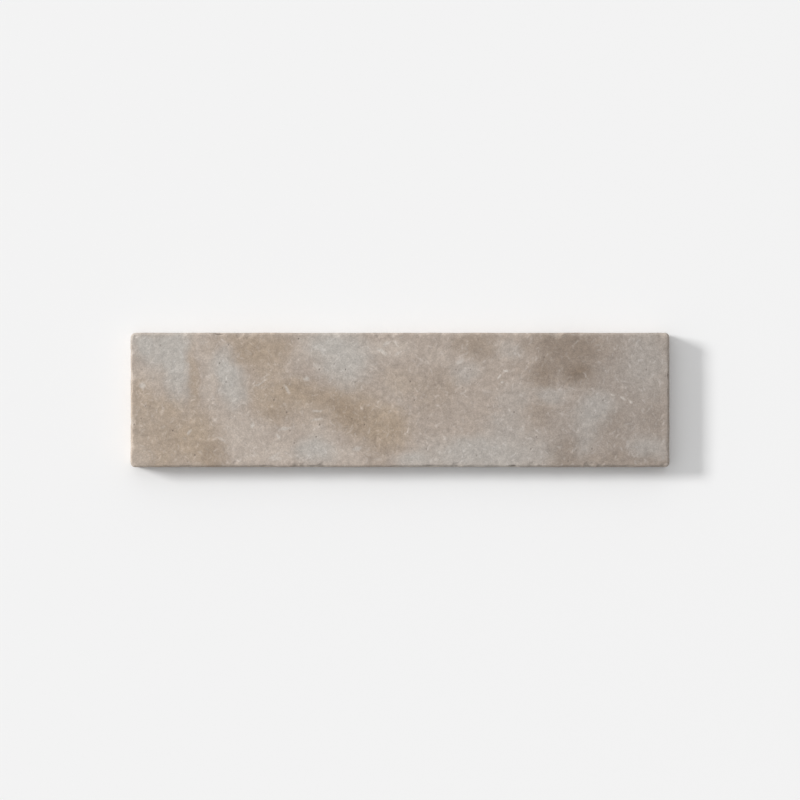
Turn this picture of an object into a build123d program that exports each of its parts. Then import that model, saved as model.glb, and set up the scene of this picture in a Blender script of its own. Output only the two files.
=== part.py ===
from build123d import *
import os

# Limestone brick tile: one slab of stone, sawn to size and then tumbled, so that
# its edges are rounded, its corners blunted and its arris chipped here and there.
# Millimetres. The origin is the middle of the back, +X runs along the length,
# +Y across the width and +Z out of the show face.

# Slab, as sawn
TILE_LENGTH = 300.0
TILE_WIDTH = 75.0
TILE_THICKNESS = 10.0

# Rounding left by the tumbling
CORNER_RADIUS = 2.6  # four corners, seen from above
FACE_ARRIS_RADIUS = 1.4  # edge round the show face
BACK_ARRIS_RADIUS = 0.8  # edge round the back

# Chips out of the arris of the show face, edge by edge. Each chip has its place as a
# share of the edge, from -X to +X or from -Y to +Y, then its length along the edge
# and its depth into the rounded arris.
FRONT_CHIPS = [(0.11, 4.0, 0.35), (0.25, 6.0, 0.50), (0.34, 4.5, 0.45), (0.555, 9.0, 0.60),
               (0.71, 5.5, 0.75), (0.76, 4.0, 0.40), (0.92, 6.0, 0.40)]
BACK_CHIPS = [(0.165, 7.0, 0.85), (0.31, 5.0, 0.40), (0.47, 8.0, 0.45), (0.64, 4.0, 0.35),
              (0.83, 6.0, 0.55)]
LEFT_CHIPS = [(0.22, 5.0, 0.40), (0.58, 6.5, 0.50)]
RIGHT_CHIPS = [(0.30, 4.0, 0.35), (0.56, 5.5, 0.50), (0.68, 4.0, 0.80)]


def chip_ball_radius(length, depth):
    """Radius of the ball whose cap is that long and that deep."""
    return (length**2 / 4 + depth**2) / (2 * depth)


def chip_places(run, facing, edge_length, edge_offset, chips):
    """Centre and radius of the ball that scoops out each chip along one edge.

    run is the direction of the edge, facing the way its side looks, edge_length its
    length and edge_offset how far it lies from the middle of the tile.
    """
    outward = (facing + Vector(0, 0, 1)).normalized()
    arris_axis = facing * (edge_offset - FACE_ARRIS_RADIUS)
    arris_axis += Vector(0, 0, TILE_THICKNESS - FACE_ARRIS_RADIUS)
    for share, length, depth in chips:
        radius = chip_ball_radius(length, depth)
        along = run * (edge_length * (share - 0.5))
        yield arris_axis + along + outward * (FACE_ARRIS_RADIUS + radius - depth), radius


along_x = Vector(1, 0, 0)
along_y = Vector(0, 1, 0)

# The slab, its rounded edges and its chips
with BuildPart() as limestone_tile:
    with BuildSketch():
        RectangleRounded(TILE_LENGTH, TILE_WIDTH, CORNER_RADIUS)
    extrude(amount=TILE_THICKNESS)
    show_face = limestone_tile.faces().sort_by(Axis.Z)[-1]
    fillet(show_face.edges(), FACE_ARRIS_RADIUS)
    back_face = limestone_tile.faces().sort_by(Axis.Z)[0]
    fillet(back_face.edges(), BACK_ARRIS_RADIUS)
    for run, facing, edge_length, edge_offset, chips in (
        (along_x, -along_y, TILE_LENGTH, TILE_WIDTH / 2, FRONT_CHIPS),
        (along_x, along_y, TILE_LENGTH, TILE_WIDTH / 2, BACK_CHIPS),
        (along_y, -along_x, TILE_WIDTH, TILE_LENGTH / 2, LEFT_CHIPS),
        (along_y, along_x, TILE_WIDTH, TILE_LENGTH / 2, RIGHT_CHIPS),
    ):
        for centre, radius in chip_places(run, facing, edge_length, edge_offset, chips):
            with Locations(centre):
                Sphere(radius, mode=Mode.SUBTRACT)

limestone_tile.part.label = "limestone_tile"
os.makedirs("parts", exist_ok=True)
export_step(limestone_tile.part, "parts/limestone_tile.step")
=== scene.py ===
import math

import bpy
import numpy as np
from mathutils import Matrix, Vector, noise
from mathutils.bvhtree import BVHTree


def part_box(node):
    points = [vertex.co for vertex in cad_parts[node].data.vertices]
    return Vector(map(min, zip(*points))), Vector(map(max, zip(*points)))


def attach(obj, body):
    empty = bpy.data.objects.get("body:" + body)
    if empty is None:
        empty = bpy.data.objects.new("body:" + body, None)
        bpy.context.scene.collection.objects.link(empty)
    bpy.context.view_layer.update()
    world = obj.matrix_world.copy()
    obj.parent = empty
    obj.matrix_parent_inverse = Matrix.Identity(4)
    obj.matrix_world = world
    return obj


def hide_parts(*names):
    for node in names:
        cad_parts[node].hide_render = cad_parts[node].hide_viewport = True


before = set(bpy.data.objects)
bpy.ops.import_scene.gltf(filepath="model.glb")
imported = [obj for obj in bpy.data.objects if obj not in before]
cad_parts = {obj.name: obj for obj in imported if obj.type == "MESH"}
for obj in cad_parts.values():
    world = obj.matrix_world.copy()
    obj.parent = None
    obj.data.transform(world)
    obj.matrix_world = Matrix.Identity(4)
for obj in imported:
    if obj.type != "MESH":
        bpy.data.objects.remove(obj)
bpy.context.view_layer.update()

# Limestone tile
# One slab of fine shelly limestone, sawn to a brick format and tumbled in a drum with grit and water.
# Tumbling dulls the sawn face, rounds every edge and knocks small chips out of the arris.
MM = 0.001  # the scene is in metres, and the tile's own sizes below are in millimetres
tile_low, tile_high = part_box("limestone_tile")
LENGTH, WIDTH, THICKNESS = (tile_high - tile_low) / MM
CORNER_RADIUS = 2.6  # four corners, seen from above
FACE_ARRIS = 1.4  # rounding of the edge of the show face
BACK_ARRIS = 0.8  # rounding of the edge of the back
QUARTER = math.pi / 2  # the turn from a face to a wall

# Spacing of the mesh: fine on the rounded edges, a little wider beside them, widest on the flats
UPPER_ARRIS_STEPS = 6  # on the half of the face's arris that belongs to the face
LOWER_ARRIS_STEPS = 3  # on the half that belongs to the walls
BACK_ARRIS_STEPS = 2  # on the half of the back's arris that belongs to the walls
WORN_STRIP = 4.2  # the strip along each edge that tumbling wore most
WORN_STEP = 0.36
LENGTH_STEP = 0.6
WIDTH_STEP = 0.8
WALL_STEP = 0.9
BACK_MARGIN = 2  # lines of the show face from the border of the back to its first row
BACK_SKIP = 6  # lines of the show face from each row of the back to the next


def mesh_lines(side, step):
    """Places of the mesh lines along one side of the face, measured from its middle."""
    arris = np.linspace(0, FACE_ARRIS, UPPER_ARRIS_STEPS, endpoint=False)
    worn = np.arange(FACE_ARRIS, WORN_STRIP - WORN_STEP / 2, WORN_STEP)
    flat = np.linspace(WORN_STRIP, side / 2, round((side / 2 - WORN_STRIP) / step) + 1)
    half = side / 2 - np.concatenate([arris, worn, flat])
    return np.concatenate([-half, half[-2::-1]])


def rim(grid):
    """The border of a grid of vertices, once round."""
    return np.concatenate([grid[:-1, 0], grid[-1, :-1], grid[:0:-1, -1], grid[0, :0:-1]])


def way_down(turn, fall):
    """Way over the skin from the middle of the face's arris down to a point, below 0 on the show face."""
    from_middle = FACE_ARRIS * (np.minimum(turn, QUARTER) - QUARTER / 2) + fall
    return from_middle + BACK_ARRIS * np.maximum(turn - QUARTER, 0)


def rounded_slab(x, y, turn, fall):
    """Points of the plain rounded slab, the way each one faces, its place on the unfolded skin, and aside.

    x and y lie on the plan with its corners still square, turn is 0 on the show face, a quarter turn
    on the walls and a half turn on the back, and fall is the way down a wall below the rounded edge.
    Aside points straight out of the nearest wall, is 1 long there and fades to 0 a corner's radius in.
    """
    past_x = np.sign(x) * np.maximum(np.abs(x) - (LENGTH / 2 - CORNER_RADIUS), 0)
    past_y = np.sign(y) * np.maximum(np.abs(y) - (WIDTH / 2 - CORNER_RADIUS), 0)
    past = np.stack([past_x, past_y], 1)
    inner = np.stack([x, y], 1) - past
    distance = np.linalg.norm(past, axis=1)
    outward = past / np.where(distance > 0, distance, 1)[:, None]
    reach = np.abs(past).max(1)
    upper = turn <= QUARTER
    radius = np.where(upper, FACE_ARRIS, BACK_ARRIS)
    inset = np.maximum(CORNER_RADIUS - reach, radius * (1 - np.sin(turn)))
    plan = inner + outward * (CORNER_RADIUS - inset)[:, None]
    upper_height = THICKNESS - FACE_ARRIS * (1 - np.cos(turn)) - fall
    height = np.where(upper, upper_height, BACK_ARRIS * (1 + np.cos(turn)))
    facing = np.column_stack([outward * np.sin(turn)[:, None], np.cos(turn)])
    skirt = np.maximum(way_down(turn, fall), 0)
    unfolded = inner + outward * (reach + skirt)[:, None]
    aside = outward * (reach / CORNER_RADIUS)[:, None]
    return np.column_stack([plan, height]), facing, unfolded, aside


# Show face: a grid over the plan, whose border lies half way round the arris
lines_x = mesh_lines(LENGTH, LENGTH_STEP)
lines_y = mesh_lines(WIDTH, WIDTH_STEP)
face_x, face_y = (part.ravel() for part in np.meshgrid(lines_x, lines_y, indexing="ij"))
face_inset = np.minimum(LENGTH / 2 - np.abs(face_x), WIDTH / 2 - np.abs(face_y))
face_turn = QUARTER / 2 * np.clip(1 - face_inset / FACE_ARRIS, 0, 1)
face_grid = np.arange(face_x.size).reshape(lines_x.size, lines_y.size)
face_rim = rim(face_grid)

# Walls: rings that go down from that border to the middle of the back's arris
wall_height = THICKNESS - FACE_ARRIS - BACK_ARRIS
upper_turns = np.linspace(QUARTER / 2, QUARTER, LOWER_ARRIS_STEPS + 1)[1:]
wall_falls = np.linspace(0, wall_height, round(wall_height / WALL_STEP) + 1)[1:]
lower_turns = np.linspace(QUARTER, 1.5 * QUARTER, BACK_ARRIS_STEPS + 1)[1:]
row_turn = np.concatenate([upper_turns, np.full(wall_falls.size, QUARTER), lower_turns])
row_fall = np.concatenate([np.zeros(upper_turns.size), wall_falls, np.full(lower_turns.size, wall_height)])
ring_size = face_rim.size
wall_rings = face_x.size + np.arange(row_turn.size * ring_size).reshape(-1, ring_size)

# Back: the same lines along the length, and only some of those across it
last_row = lines_y.size - 1 - BACK_MARGIN
back_rows = np.unique(np.r_[BACK_MARGIN:last_row:BACK_SKIP, last_row])
back_x, back_y = (part.ravel() for part in np.meshgrid(lines_x[1:-1], lines_y[back_rows], indexing="ij"))
back_inset = np.minimum(LENGTH / 2 - np.abs(back_x), WIDTH / 2 - np.abs(back_y))
back_turn = QUARTER * (2 - np.clip(1 - back_inset / BACK_ARRIS, 0, 1) / 2)
back_grid = face_x.size + wall_rings.size + np.arange(back_x.size).reshape(-1, back_rows.size)

plan_x = np.concatenate([face_x, np.tile(face_x[face_rim], row_turn.size), back_x])
plan_y = np.concatenate([face_y, np.tile(face_y[face_rim], row_turn.size), back_y])
turn = np.concatenate([face_turn, np.repeat(row_turn, ring_size), back_turn])
fall = np.concatenate([
    np.zeros(face_x.size), np.repeat(row_fall, ring_size), np.full(back_x.size, wall_height)
])
points, facing, unfolded, aside = rounded_slab(plan_x, plan_y, turn, fall)

# Depth of the modelled chips: how far the solid lies below the plain rounded slab
RAY_LEAD = 1.0  # how far outside the slab each ray starts
solid = BVHTree.FromObject(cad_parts["limestone_tile"], bpy.context.evaluated_depsgraph_get())
chips = np.zeros(len(points))
for k in np.flatnonzero((turn > 0) & (turn < 2 * QUARTER)):
    way = Vector(facing[k])
    distance = solid.ray_cast((Vector(points[k]) + way * RAY_LEAD) * MM, -way)[3]
    chips[k] = max(distance / MM - RAY_LEAD, 0)

# Wear of the drum, all of it cut inwards: an unevenly worn arris, small scoops knocked out of it,
# shallow pits in the show face and the walls, and all over the slight waves that are left of the sawing
ARRIS_WEAR = 0.4
BACK_WEAR = 0.6  # wear of the back's arris, as a share of that
WORN_REACH = 1.15  # how far the wear spreads from the middle of the arris
FACE_SCOOPS = 90
BACK_SCOOPS = 30
SCOOP_REACH = (0.8, 3.6)
SCOOP_SLOPE = (0.10, 0.24)  # depth as a share of reach
RAGGED_REACH = 1.4  # how far a ragged outline may stray, as a share of reach
PITS = 50
PIT_REACH = (0.6, 1.3)
PIT_SLOPE = (0.10, 0.25)
SKIN_WAVES = 0.05
WALL_WANDER = 0.15  # the sawn sides aren't quite straight any more
WEAR_SEED = 11
chance = np.random.default_rng(WEAR_SEED)


def uneven(patch, mean, change, smoothness, finer, octaves):
    """A share for each point, never below 0, that changes over patches of that size and finer ones."""
    shares = [
        mean + change * noise.fractal(Vector(point) / patch, smoothness, finer, octaves) for point in points
    ]
    return np.maximum(shares, 0)


ragged = uneven(patch=1.3, mean=1.0, change=0.35, smoothness=1.0, finer=2.0, octaves=1)
waves = uneven(patch=7.0, mean=1.0, change=1.0, smoothness=0.8, finer=2.1, octaves=4)
wear = uneven(patch=8.0, mean=0.5, change=0.6, smoothness=0.8, finer=2.0, octaves=4)
wander = uneven(patch=16.0, mean=0.35, change=0.7, smoothness=1.0, finer=2.0, octaves=3)


def knock_out(places, count, reach_limits, slope_limits):
    """Depth at each point of shallow ragged scoops round some of the places, most of them small."""
    centres = points[chance.choice(places, count)]
    smallest, largest = reach_limits
    reaches = smallest + (largest - smallest) * chance.random(count) ** 2
    slopes = chance.uniform(*slope_limits, count)
    depth = np.zeros(len(points))
    for centre, reach, slope in zip(centres, reaches, slopes):
        near = np.flatnonzero(np.abs(points - centre).max(1) < RAGGED_REACH * reach)
        away = np.linalg.norm(points[near] - centre, axis=1) / reach * ragged[near]
        depth[near] = np.maximum(depth[near], reach * slope * (1 - away**2))
    return depth


wall_way = np.repeat(way_down(row_turn, row_fall), ring_size)
whole_way = way_down(1.5 * QUARTER, wall_height)
from_face_arris = np.concatenate([face_inset, wall_way, whole_way + back_inset])
from_back_arris = np.concatenate([whole_way + face_inset, whole_way - wall_way, back_inset])
arris = np.exp(-((from_face_arris / WORN_REACH) ** 2))
arris += BACK_WEAR * np.exp(-((from_back_arris / WORN_REACH) ** 2))

face_scoops = knock_out(face_rim, FACE_SCOOPS, SCOOP_REACH, SCOOP_SLOPE)
back_scoops = knock_out(wall_rings[-1], BACK_SCOOPS, SCOOP_REACH, SCOOP_SLOPE)
flats = np.flatnonzero((from_face_arris > WORN_REACH) & (turn <= QUARTER))
pits = knock_out(flats, PITS, PIT_REACH, PIT_SLOPE)
losses = np.maximum.reduce([chips, face_scoops, back_scoops])
cut = losses + ARRIS_WEAR * arris * wear + pits + SKIN_WAVES * waves
points -= facing * cut[:, None]
points[:, :2] -= aside * WALL_WANDER * wander[:, None]


def quads(lower, upper):
    """Faces between two rows of vertices."""
    return np.stack([lower[:-1], lower[1:], upper[1:], upper[:-1]], 1).tolist()


faces = []
for lower, upper in zip(face_grid.T, face_grid.T[1:]):
    faces += quads(lower, upper)
rings = [face_rim, *wall_rings]
for upper, lower in zip(rings, rings[1:]):
    faces += quads(np.append(lower, lower[0]), np.append(upper, upper[0]))
back_start = len(faces)

# The back's border is the last ring, so its rows start and end on that ring
border = np.append(wall_rings[-1], wall_rings[-1][0])
columns, rows = lines_x.size, lines_y.size
front_row = border[:columns]
right_row = border[columns - 1:columns + rows - 1]
rear_row = border[columns + rows - 2:2 * columns + rows - 2][::-1]
left_row = border[2 * columns + rows - 3:][::-1]
strips = [front_row[1:-1], *back_grid.T, rear_row[1:-1]]
for near, far in zip(strips, strips[1:]):
    faces += quads(far, near)
stops = [0, *back_rows, rows - 1]
for begin, end, near, far in zip(stops, stops[1:], strips, strips[1:]):
    faces.append([*left_row[begin:end + 1], far[0], near[0]])
    faces.append([*right_row[begin:end + 1][::-1], near[-1], far[-1]])

tile_mesh = bpy.data.meshes.new("tumbled_limestone_tile")
tile_mesh.from_pydata((points * MM).tolist(), [], faces)
tile_mesh.validate()
tile_mesh.shade_smooth()
tile = bpy.data.objects.new("tumbled_limestone_tile", tile_mesh)
bpy.context.scene.collection.objects.link(tile)

# For the finish, how bruised each point is, on the worn arris and in scoops and chips, and how much
# painted shade darkens the bottom of the deepest chips
BRUISED_DEPTH = 0.5  # where a chip or scoop is this deep, the stone is fully bruised
BRUISED_ARRIS = 0.6  # how bruised the arris is at full wear
UNSHADED_DEPTH = 0.35  # where a chip is less deep, no painted shade is put in it
FULL_SHADE_DEPTH = 0.70  # and where it is this deep, it is fully darkened with painted shade
bruise = losses / BRUISED_DEPTH + BRUISED_ARRIS * arris * wear
# Painted shade: the colour of the deepest chips is darkened where shade would lie in them
chip_shade = (chips - UNSHADED_DEPTH) / (FULL_SHADE_DEPTH - UNSHADED_DEPTH)
for name, shares in (("bruise", bruise), ("chip_shade", chip_shade)):
    attribute = tile_mesh.attributes.new(name, "FLOAT", "POINT")
    attribute.data.foreach_set("value", np.clip(shares, 0, 1).astype(np.float32))

# Map of the unfolded skin: show face with its walls folded out, and the back below it
SKIN_MARGIN = THICKNESS + 2.0  # room for a wall and a gap on each side
BACK_SHARE = 0.26  # of the map's height
BACK_FILL = 0.94  # of the back's part of the map
skin_u = 0.5 + unfolded[:, 0] / (LENGTH + 2 * SKIN_MARGIN)
skin_v = 0.5 + unfolded[:, 1] / (WIDTH + 2 * SKIN_MARGIN)
skin_uv = np.column_stack([skin_u, BACK_SHARE + (1 - BACK_SHARE) * skin_v])
back_u = 0.5 - BACK_FILL * points[:, 0] / LENGTH
back_v = 0.5 + BACK_FILL * points[:, 1] / WIDTH
back_uv = np.column_stack([back_u, BACK_SHARE * back_v])
corner_vertex = np.zeros(len(tile_mesh.loops), np.int32)
tile_mesh.loops.foreach_get("vertex_index", corner_vertex)
on_back = np.arange(corner_vertex.size) >= tile_mesh.polygons[back_start].loop_start
corner_uv = np.where(on_back[:, None], back_uv[corner_vertex], skin_uv[corner_vertex])
skin_map = tile_mesh.uv_layers.new(name="OFBake")
skin_map.data.foreach_set("uv", corner_uv.astype(np.float32).ravel())


def linear(hex_colour):
    """Linear RGBA of an sRGB hex colour."""
    shares = [int(hex_colour[k:k + 2], 16) / 255 for k in (1, 3, 5)]
    return (*[s / 12.92 if s <= 0.04045 else ((s + 0.055) / 1.055) ** 2.4 for s in shares], 1.0)


def add_node(tree, kind, inputs=(), **settings):
    """Adds a shader node, sets its properties, and fills its inputs with values or other nodes' outputs."""
    made = tree.nodes.new("ShaderNode" + kind)
    for name, value in settings.items():
        setattr(made, name, value)
    for key, value in dict(inputs).items():
        if isinstance(value, bpy.types.NodeSocket):
            tree.links.new(value, made.inputs[key])
        else:
            made.inputs[key].default_value = value
    return made


# Tumbled limestone: lime mud with broken shell in it, clouded by a little iron, dull from the drum.
# To the eye it is a matt grey-beige, softly clouded, with pale slivers and a fine salt-and-pepper grain.
STONE = "#A79A8F"
STONE_IOR = 1.5
STONE_ROUGHNESS = 0.8
COVER, UNDER, OVER, MIXED = 0, 6, 7, 2  # inputs and output of a colour mix

# Clouds of each tint, in the order in which they cover each other, and in each tint from left to right.
# A cloud has its place from the tile's middle, its half sizes, its turn in degrees and its strength.
CLOUDS = {
    "#9B9087": [  # grey end: a greyer tone, and painted shade that darkens the right end, away from the light
        ((90, -22), (22, 24), 0, 0.5), ((128, 0), (62, 80), 0, 1.0),
    ],
    "#B6AA9F": [  # clean pale mud, a little rosy
        ((-145, -29), (11, 13), 0, 0.9), ((-144, 12), (8, 11), 0, 0.8), ((-134, 12), (10, 10), 0, 0.8),
        ((-134, -1), (9, 8), 0, 0.5), ((-113, 30), (14, 14), 0, 0.6), ((-106, 6), (7, 12), 0, 0.8),
        ((-105, 20), (7, 15), 0, 0.7), ((-102, -3), (9, 8), 0, 0.5), ((-92, -14), (16, 15), 0, 0.7),
        ((-84, -27), (24, 15), 0, 0.7), ((-77, -13), (9, 8), 0, 0.5), ((-66, -31), (15, 11), 0, 0.8),
        ((-64, -19), (10, 9), 0, 0.5), ((-63, 5), (6, 8), 0, 0.4), ((-54, 28), (10, 12), 0, 0.6),
        ((-50, -13), (9, 7), 0, 0.5), ((-44, -19), (11, 10), 0, 0.7), ((-31, -31), (15, 11), 0, 0.8),
        ((-5, 29), (24, 10), 0, 0.9), ((-2, 8), (15, 13), 0, 0.4), ((22, 22), (12, 9), 0, 0.4),
        ((35, 14), (13, 13), 0, 0.25), ((57, 4), (9, 8), 0, 0.3), ((59, 27), (13, 10), 0, 0.4),
    ],
    "#A99886": [  # tan, stained by iron
        ((-145, 1), (12, 18), 0, 0.6), ((-140, 7), (12, 9), 0, 0.2), ((-131, -34), (10, 8), 0, 0.3),
        ((-130, -3), (14, 8), 0, 0.4), ((-128, -20), (38, 28), 8, 0.75), ((-115, 13), (5, 28), 0, 0.6),
        ((-110, -24), (16, 20), 0, 0.5), ((-106, 31), (7, 8), 0, 0.25), ((-95, 35), (11, 7), 0, 0.4),
        ((-77, 28), (24, 18), 0, 0.85), ((-70, 3), (22, 21), 0, 0.8), ((-54, 4), (19, 12), -30, 0.5),
        ((-50, -6), (14, 12), 0, 0.4), ((-20, -9), (36, 20), -25, 0.7), ((-4, -16), (18, 18), 0, 0.5),
        ((0, 11), (16, 12), 0, 0.4), ((42, 31), (17, 11), 0, 0.3),
    ],
    "#B2ACA5": [  # cool, free of iron
        ((-145, 33), (10, 9), 0, 0.6), ((-134, 28), (22, 16), 0, 0.9), ((-125, 17), (10, 25), 8, 0.9),
        ((-121, 34), (9, 9), 0, 0.5), ((-98, 19), (11, 14), 0, 0.9), ((-93, 7), (11, 17), 15, 0.9),
        ((-48, -30), (17, 14), 0, 0.9), ((-44, 31), (15, 11), 0, 0.6), ((-30, 23), (23, 22), 0, 0.95),
        ((7, -34), (16, 9), 0, 0.6), ((45, -31), (50, 16), 0, 0.8),
    ],
    "#A6A09A": [  # the same, darker in the greyer half to go with the grey end's painted shade
        ((37, 16), (12, 10), 0, 0.5), ((47, -30), (28, 14), 0, 0.45), ((60, -15), (18, 13), 0, 0.5),
        ((62, 27), (9, 8), 0, 0.4), ((64, 1), (16, 13), 0, 0.4), ((75, -27), (20, 15), 0, 0.5),
        ((85, 3), (13, 8), 0, 0.6), ((102, -22), (10, 15), 0, 0.5), ((108, -6), (17, 14), 30, 0.8),
        ((136, 21), (21, 27), 0, 0.5), ((138, -27), (15, 10), 0, 0.7),
    ],
    "#968471": [  # brown, where the iron gathered
        ((-126, -19), (12, 15), 0, 0.2), ((-114, 8), (6, 9), 0, 0.15), ((-102, -32), (12, 15), 0, 0.62),
        ((-82, 29), (15, 10), 0, 0.35), ((-66, 30), (9, 8), 0, 0.25), ((-66, -6), (11, 12), 0, 0.4),
        ((-52, 4), (18, 9), -25, 0.45), ((-37, -3), (14, 9), -30, 0.14), ((-28, -8), (23, 14), -30, 0.75),
        ((-15, -29), (10, 12), 0, 0.25), ((-8, -20), (14, 12), 0, 0.33), ((0, -14), (10, 10), 0, 0.25),
        ((18, 3), (18, 19), 0, 0.28), ((30, 8), (7, 9), 0, 0.2),
    ],
    "#766554": [  # taupe smudges
        ((20, 14), (10, 8), 0, 0.1), ((36, 31), (10, 8), 0, 0.25), ((46, 29), (12, 9), 0, 0.28),
        ((56, 36), (10, 6), 0, 0.15), ((66, 17), (9, 8), 0, 0.1), ((74, 33), (13, 12), 0, 0.24),
        ((79, 14), (12, 11), 0, 0.45), ((79, -8), (13, 10), 0, 0.25), ((90, -29), (13, 13), 0, 0.35),
        ((93, 28), (25, 23), 0, 0.55), ((100, 13), (12, 10), 0, 0.5), ((112, 28), (14, 18), 0, 0.12),
        ((118, -13), (10, 10), 0, 0.2), ((120, -26), (10, 12), 0, 0.15), ((122, -35), (44, 8), 0, 0.25),
        ((140, -11), (15, 13), 0, 0.15),
    ],
}
CLOUD_DEPTH = 1000  # half size through the stone, so that a cloud looks the same at every depth
CLOUD_CORE = 0.8  # how near its middle a cloud is at full strength: 0 is its edge and 1 its middle

# The largest shells, laid out the same way
SHELL = "#CBC4BC"
SHELLS = [
    ((-143, 8), (2.4, 3.0), 0, 0.7), ((-117, -18), (3.0, 1.2), 60, 0.5), ((-99, -22), (4.2, 1.3), -30, 0.4),
    ((-92, 0), (2.6, 1.6), 30, 0.4), ((-82, -14), (2.6, 1.3), 80, 0.6), ((-78, 9), (7.5, 0.9), 32, 0.4),
    ((-75, 13), (5.0, 0.9), 28, 0.25), ((-70, -31), (5.0, 1.4), 25, 0.5), ((-69, -33), (6.0, 1.2), 12, 0.4),
    ((-68, -20), (3.4, 1.2), -50, 0.6), ((-64, -16), (4.4, 1.4), 10, 0.5), ((-63, 6), (4.4, 1.5), -60, 0.55),
    ((-52, 12), (2.4, 2.0), 0, 0.7), ((-46, 19), (2.6, 1.8), 0, 0.3), ((-46, -6), (4.5, 1.0), 5, 0.5),
    ((-46, -11), (4.5, 1.0), 10, 0.5), ((-24, -27), (4.0, 1.6), 10, 0.5), ((-12, -33), (3.0, 1.5), 0, 0.25),
    ((-10, 27), (5.0, 1.7), -35, 0.6), ((-8, 31), (3.4, 1.2), 40, 0.5), ((-2, 31), (3.6, 1.1), -50, 0.45),
    ((-1, 26), (3.2, 1.1), 30, 0.4), ((33, 21), (3.6, 1.4), 30, 0.45), ((55, 13), (2.8, 1.0), 50, 0.7),
    ((57, 10), (1.4, 1.0), 0, 0.65), ((59, 16), (1.5, 1.0), 0, 0.65), ((118, 3), (2.0, 1.0), -20, 0.4),
    ((124, 1), (2.8, 1.0), -40, 0.6), ((128, -1), (2.0, 1.2), -30, 0.65),
]

limestone = bpy.data.materials.new("tumbled_limestone")
limestone.use_nodes = True
stone = limestone.node_tree
stone.nodes.clear()
spot = add_node(stone, "TexCoord").outputs["Object"]
spot = add_node(stone, "VectorMath", {0: spot, "Scale": 1 / MM}, operation="SCALE").outputs[0]

# The clouds drift: their outlines wander by several millimetres, in large waves and in small ones.
# The largest shells follow only the small waves, which bend them a little and leave them in their place.
DRIFT_WAVES = [(3, 2.2), (9, 6), (26, 9)]  # size of the waves and how far they push, in millimetres
NOISE_MEAN = (0.5, 0.5, 0.5)
pushed = [spot]
for wave, push in DRIFT_WAVES:
    waving = add_node(stone, "TexNoise", {"Vector": spot, "Scale": 1 / wave, "Detail": 1}).outputs["Color"]
    waving = add_node(stone, "VectorMath", {0: waving, 1: NOISE_MEAN}, operation="SUBTRACT").outputs[0]
    waving = add_node(
        stone, "VectorMath", {0: waving, 1: (push, push, push), 2: pushed[-1]}, operation="MULTIPLY_ADD"
    ).outputs[0]
    pushed.append(waving)
bent, drifted = pushed[1], pushed[-1]

colour = linear(STONE)
layers = [(tint, clouds, drifted) for tint, clouds in CLOUDS.items()] + [(SHELL, SHELLS, bent)]
for tint, patches, place in layers:
    cover = 0.0
    for middle, half_sizes, turned, strength in patches:
        within = add_node(
            stone, "Mapping",
            {"Vector": place, "Location": (*middle, 0), "Rotation": (0, 0, math.radians(turned)),
             "Scale": (*half_sizes, CLOUD_DEPTH)},
            vector_type="TEXTURE",
        ).outputs[0]
        fade = add_node(stone, "TexGradient", {"Vector": within}, gradient_type="SPHERICAL").outputs["Fac"]
        fade = add_node(
            stone, "MapRange", {"Value": fade, "From Max": CLOUD_CORE, "To Max": strength},
            interpolation_type="SMOOTHSTEP",
        ).outputs[0]
        cover = add_node(stone, "Math", {0: fade, 1: cover}, operation="ADD").outputs[0]
    colour = add_node(
        stone, "Mix", {COVER: cover, UNDER: colour, OVER: linear(tint)}, data_type="RGBA"
    ).outputs[MIXED]

# Lime mud and shell sand: mottled patches of a few millimetres, shell grit and sand, each a little lighter
# or darker than its ground. Real sand is finer, and is drawn at half a millimetre so that it shows.
# Each row is size in millimetres, change of lightness and height in millimetres.
GRAINS = [(5.0, 0.07, 0.0), (2.6, 0.08, 0.03), (0.8, 0.12, 0.03), (0.5, 0.10, 0.02)]
NOISE_LOW, NOISE_HIGH = 0.3, 0.7  # nearly all of a noise lies between these
relief = 0.0
for grain_size, change, height in GRAINS:
    grain = add_node(
        stone, "TexNoise", {"Vector": spot, "Scale": 1 / grain_size, "Detail": 2}
    ).outputs["Fac"]
    shade = add_node(
        stone, "MapRange",
        {"Value": grain, "From Min": NOISE_LOW, "From Max": NOISE_HIGH,
         "To Min": 1 - change, "To Max": 1 + change},
    ).outputs[0]
    colour = add_node(
        stone, "Mix", {COVER: 1.0, UNDER: colour, OVER: shade}, data_type="RGBA", blend_type="MULTIPLY"
    ).outputs[MIXED]
    relief = add_node(stone, "Math", {0: grain, 1: height, 2: relief}, operation="MULTIPLY_ADD").outputs[0]

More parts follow.
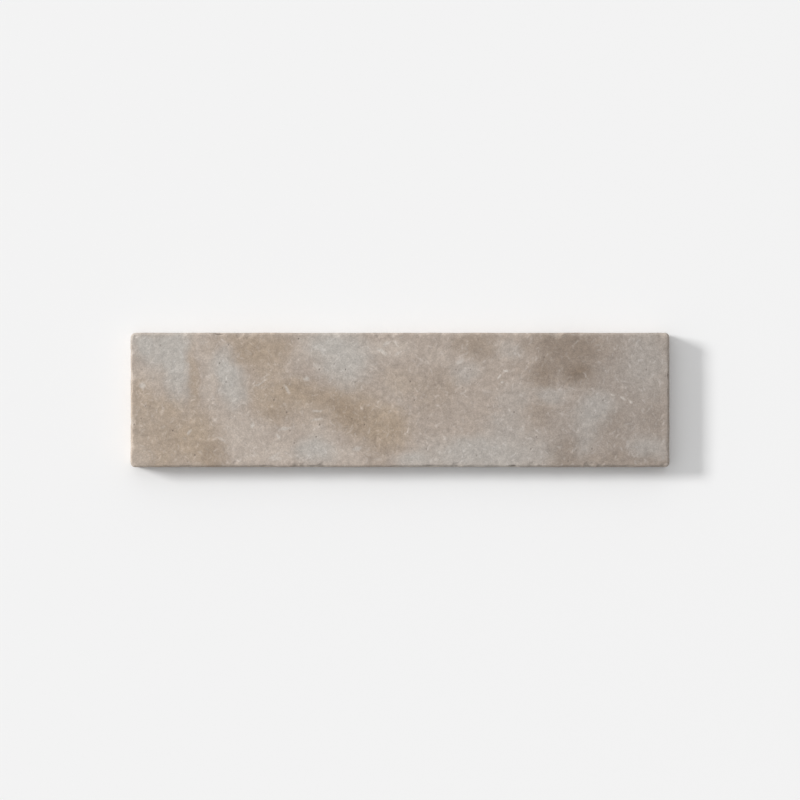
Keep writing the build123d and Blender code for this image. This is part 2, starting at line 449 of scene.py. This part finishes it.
# Shell slivers: pale and curved, 3 to 7 mm long, lying every way. Most are faint and a few stand out.
# Each row is the turn of one set in degrees, which shifts the set too, and its spacing along and across.
SLIVERS = [(75, (5.0, 1.6)), (48, (7.5, 1.8)), (112, (5.4, 1.6)), (138, (6.8, 1.8)), (5, (3.0, 2.0))]
SLIVER_PALER = 0.095  # how much lighter the palest one is
SLIVER_RARITY = 5.0  # the higher it is, the fewer stand out
SLIVER_CORE, SLIVER_EDGE = 0.1, 0.45  # where a sliver starts to fade and where it ends, in spacings
for turned, (along, across) in SLIVERS:
    laid = add_node(
        stone, "Mapping",
        {"Vector": drifted, "Location": (turned, 2 * turned, 0), "Rotation": (0, 0, math.radians(turned)),
         "Scale": (along, across, across)},
        vector_type="TEXTURE",
    ).outputs[0]
    sliver = add_node(stone, "TexVoronoi", {"Vector": laid, "Scale": 1.0})
    chosen = add_node(stone, "SeparateColor", {0: sliver.outputs["Color"]}).outputs[0]
    chosen = add_node(stone, "Math", {0: chosen, 1: SLIVER_RARITY}, operation="POWER").outputs[0]
    shape = add_node(
        stone, "MapRange",
        {"Value": sliver.outputs["Distance"], "From Min": SLIVER_CORE, "From Max": SLIVER_EDGE,
         "To Min": SLIVER_PALER, "To Max": 0.0},
    ).outputs[0]
    paler = add_node(stone, "Math", {0: chosen, 1: shape}, operation="MULTIPLY").outputs[0]
    colour = add_node(
        stone, "Mix", {COVER: 1.0, UNDER: colour, OVER: paler}, data_type="RGBA", blend_type="ADD"
    ).outputs[MIXED]

# Pores: dark open specks, here and there
PORE = "#6F645B"
PORE_SPACING = 3.4
PORE_RARITY = 0.8  # share of the places that have none
PORE_CORE, PORE_EDGE = 0.08, 0.2  # where a pore starts to fade and where it ends, in spacings
PORE_COVER = 0.6  # how much of the stone's colour the darkest one hides
PORE_DEPTH = 0.18
pore = add_node(stone, "TexVoronoi", {"Vector": spot, "Scale": 1 / PORE_SPACING})
chosen = add_node(stone, "SeparateColor", {0: pore.outputs["Color"]}).outputs[1]
chosen = add_node(
    stone, "MapRange", {"Value": chosen, "From Min": PORE_RARITY, "From Max": 1.0}
).outputs[0]
hollow = add_node(
    stone, "MapRange",
    {"Value": pore.outputs["Distance"], "From Min": PORE_CORE, "From Max": PORE_EDGE,
     "To Min": 1.0, "To Max": 0.0},
).outputs[0]
hollow = add_node(stone, "Math", {0: hollow, 1: chosen}, operation="MULTIPLY").outputs[0]
dark = add_node(stone, "Math", {0: hollow, 1: PORE_COVER}, operation="MULTIPLY").outputs[0]
colour = add_node(
    stone, "Mix", {COVER: dark, UNDER: colour, OVER: linear(PORE)}, data_type="RGBA"
).outputs[MIXED]
relief = add_node(
    stone, "Math", {0: hollow, 1: -PORE_DEPTH, 2: relief}, operation="MULTIPLY_ADD"
).outputs[0]

# Bruised stone is a little paler, and the painted shade in the deepest chips is as dark as the pores
BRUISE = "#BDB3A8"
BRUISE_COVER = 0.25
CHIP_SHADE_COVER = 0.8
# The second entry paints shade into the deepest chips
for name, tint, strength in (("bruise", BRUISE, BRUISE_COVER), ("chip_shade", PORE, CHIP_SHADE_COVER)):
    cover = add_node(stone, "Attribute", attribute_name=name).outputs["Fac"]
    cover = add_node(stone, "Math", {0: cover, 1: strength}, operation="MULTIPLY").outputs[0]
    colour = add_node(
        stone, "Mix", {COVER: cover, UNDER: colour, OVER: linear(tint)}, data_type="RGBA"
    ).outputs[MIXED]

skin = add_node(stone, "Bump", {"Height": relief, "Distance": MM, "Strength": 1.0}).outputs[0]
finish = add_node(
    stone, "BsdfPrincipled",
    {"Base Color": colour, "Roughness": STONE_ROUGHNESS, "IOR": STONE_IOR, "Normal": skin},
)
add_node(stone, "OutputMaterial", {"Surface": finish.outputs[0]})
tile_mesh.materials.append(limestone)

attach(tile, "root")
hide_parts("limestone_tile")

# Floor
# A plain pale studio floor of backdrop paper, laid flat, and wide enough to fill every view.
# It carries the tile's shadow.
FLOOR = "#F3F3F3"
FLOOR_SIDE = 16.0  # in metres, as the gap
FLOOR_GAP = 0.00005  # keeps the floor clear of the tile's back
half_side = FLOOR_SIDE / 2
floor_corners = [
    (-half_side, -half_side, -FLOOR_GAP), (half_side, -half_side, -FLOOR_GAP),
    (half_side, half_side, -FLOOR_GAP), (-half_side, half_side, -FLOOR_GAP),
]
floor_mesh = bpy.data.meshes.new("studio_floor")
floor_mesh.from_pydata(floor_corners, [], [(0, 1, 2, 3)])
floor = bpy.data.objects.new("studio_floor", floor_mesh)
bpy.context.scene.collection.objects.link(floor)

# Backdrop paper: even and matt, so that nothing but the shadow shows on it
paper = bpy.data.materials.new("matt_backdrop_paper")
paper.use_nodes = True
paper_tree = paper.node_tree
paper_tree.nodes.clear()
paper_finish = add_node(paper_tree, "BsdfDiffuse", {"Color": linear(FLOOR)})
add_node(paper_tree, "OutputMaterial", {"Surface": paper_finish.outputs[0]})
floor_mesh.materials.append(paper)

# Light
# A long strip softbox far off, low on the left and a little behind, in a pale studio that is brighter
# overhead and to the left and back. They light the floor to 1, so that a colour shows as it is written.
KEY_SHARE = 0.36  # of the light on the floor
KEY_HEIGHT = math.radians(22)
KEY_SWING = math.radians(17)  # from straight left towards the back
KEY_DISTANCE = 100.0  # in metres, far enough to light the whole floor alike
KEY_HALF_LENGTH = 0.14  # as a share of its distance, lying level
KEY_HALF_HEIGHT = 0.067  # as a share of its distance
key_data = bpy.data.lights.new("strip_softbox", "AREA")
key_data.shape = "RECTANGLE"
key_data.size = 2 * KEY_HALF_LENGTH * KEY_DISTANCE
key_data.size_y = 2 * KEY_HALF_HEIGHT * KEY_DISTANCE
end_loss = KEY_HALF_LENGTH / (1 + KEY_HALF_LENGTH**2) + math.atan(KEY_HALF_LENGTH)
end_loss /= 2 * KEY_HALF_LENGTH  # its ends are further off than its middle, so they light the floor less
key_data.energy = KEY_SHARE * math.pi**2 * KEY_DISTANCE**2 / math.sin(KEY_HEIGHT) / end_loss
key = bpy.data.objects.new("strip_softbox", key_data)
key_way = Vector((-math.cos(KEY_SWING), math.sin(KEY_SWING), math.tan(KEY_HEIGHT))).normalized()
key.location = key_way * KEY_DISTANCE
key.rotation_mode = "QUATERNION"
key.rotation_quaternion = key_way.to_track_quat("Z", "Y")
key.visible_camera = False
bpy.context.scene.collection.objects.link(key)

STUDIO_SHARE = 1 - KEY_SHARE
SIDE_GAIN = 0.65  # how much brighter the studio is on one side, and darker on the other
SIDE_WAY = math.radians(60)  # where the bright side is, from straight left towards the back
TOP_GAIN = 0.5  # how much brighter it is overhead than at the horizon
HORIZON = 1 - TOP_GAIN * 2 / 3  # keeps the light on the floor as it is
studio = bpy.data.worlds.new("pale_studio")
studio.use_nodes = True
studio_tree = studio.node_tree
studio_tree.nodes.clear()
direction = add_node(studio_tree, "TexCoord").outputs["Generated"]
brighter = (-math.cos(SIDE_WAY) * SIDE_GAIN, math.sin(SIDE_WAY) * SIDE_GAIN, TOP_GAIN)
gain = add_node(
    studio_tree, "VectorMath", {0: direction, 1: brighter}, operation="DOT_PRODUCT"
).outputs["Value"]
level = add_node(
    studio_tree, "Math", {0: gain, 1: STUDIO_SHARE, 2: HORIZON * STUDIO_SHARE}, operation="MULTIPLY_ADD"
).outputs[0]
glow = add_node(studio_tree, "Background", {"Color": (1.0, 1.0, 1.0, 1.0), "Strength": level})

# Where the studio itself is seen, straight, mirrored or through something, it has the floor's colour
backdrop = add_node(studio_tree, "Background", {"Color": linear(FLOOR), "Strength": 1.0})
ray = add_node(studio_tree, "LightPath").outputs
seen = ray["Is Camera Ray"]
for kind in ("Is Glossy Ray", "Is Transmission Ray"):
    seen = add_node(studio_tree, "Math", {0: seen, 1: ray[kind]}, operation="MAXIMUM").outputs[0]
surroundings = add_node(studio_tree, "MixShader", {0: seen, 1: glow.outputs[0], 2: backdrop.outputs[0]})
add_node(studio_tree, "OutputWorld", {"Surface": surroundings.outputs[0]})
bpy.context.scene.world = studio

# Camera
# Straight above the middle of the tile, looking down, with +X to the right and +Y at the top.
# The tile takes up about two thirds of the picture's width.
LENS = 100.0  # in millimetres, as the sensor
SENSOR = 36.0
PICTURE = 800  # pixels across
TILE_PIXELS = 540  # the tile's length in the picture
camera_data = bpy.data.cameras.new("overhead_camera")
camera_data.lens = LENS
camera_data.sensor_width = SENSOR
camera = bpy.data.objects.new("overhead_camera", camera_data)
frame_width = LENGTH * MM * PICTURE / TILE_PIXELS
camera.location = (0, 0, tile_high.z + frame_width * LENS / SENSOR)
bpy.context.scene.collection.objects.link(camera)
bpy.context.scene.camera = camera
bpy.context.scene.view_settings.view_transform = "Standard"
